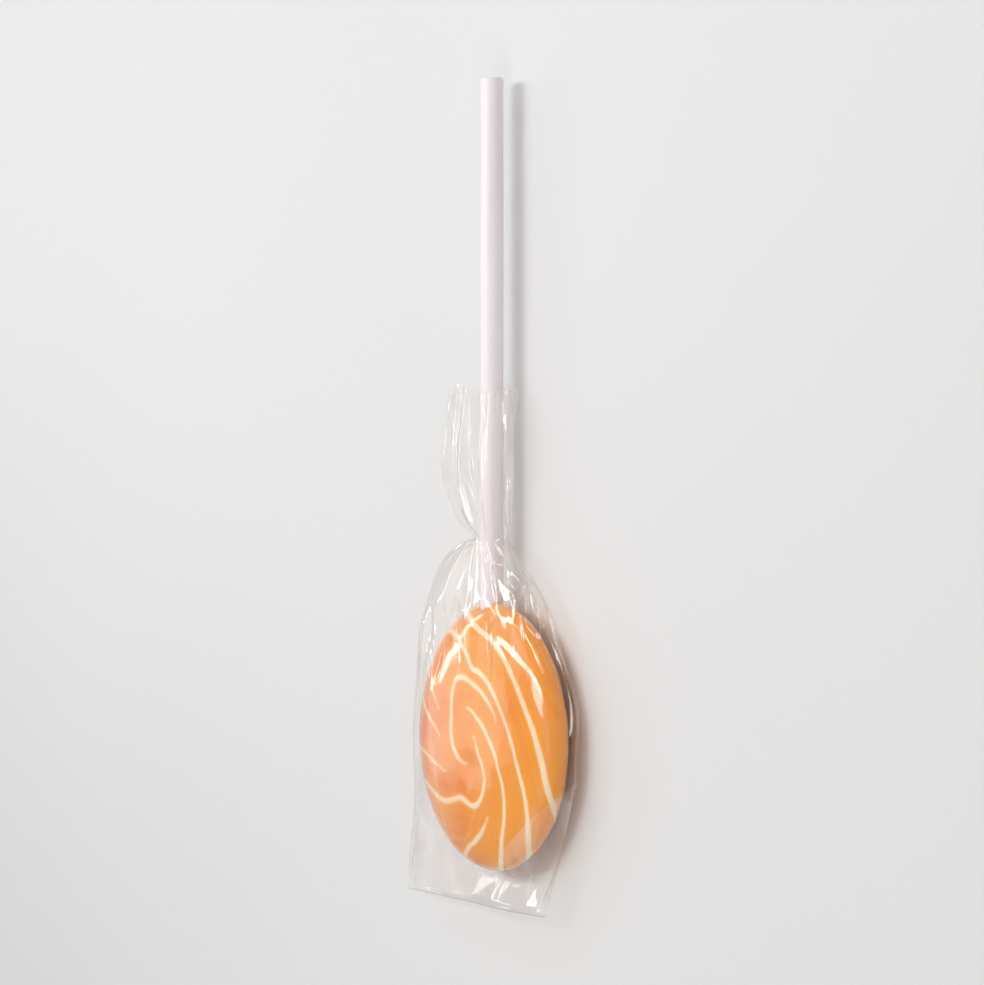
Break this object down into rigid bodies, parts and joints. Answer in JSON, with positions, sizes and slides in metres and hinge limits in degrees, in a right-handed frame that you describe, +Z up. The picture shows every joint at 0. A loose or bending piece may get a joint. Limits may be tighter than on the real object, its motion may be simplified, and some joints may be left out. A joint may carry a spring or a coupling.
{
  "type": "swirl lollipop",
  "caption": "Round swirl lollipop, an orange boiled-sugar disc with spiral white stripes on a straight white stick, in a clear film wrapper gathered at the neck.",
  "frame": {"origin": "on the surface that the lollipop lies on, under the middle of the head, at the wrapper's flat spot", "axes": "+Y along the stick from the head to its free end, +Z up out of the shown face of the head, +X to the right of the stick seen from above"},
  "size_m": [0.0644, 0.159, 0.0118],
  "materials": {
    "candy": "smooth glossy boiled sugar, golden orange",
    "stripe": "opaque warm white pulled sugar, flush with the candy",
    "stick": "smooth white stick with a soft sheen",
    "film": "clear crinkled cellophane film"
  },
  "bodies": {
    "root": {"candy": "candy", "stripe_01": "stripe", "stripe_02": "stripe", "stripe_03": "stripe", "stripe_04": "stripe", "stripe_05": "stripe", "stripe_06": "stripe", "stripe_07": "stripe", "stripe_08": "stripe", "stripe_09": "stripe", "stripe_10": "stripe", "stripe_11": "stripe", "stripe_12": "stripe", "stick": "stick", "wrapper": "film"}
  },
  "joints": []
}
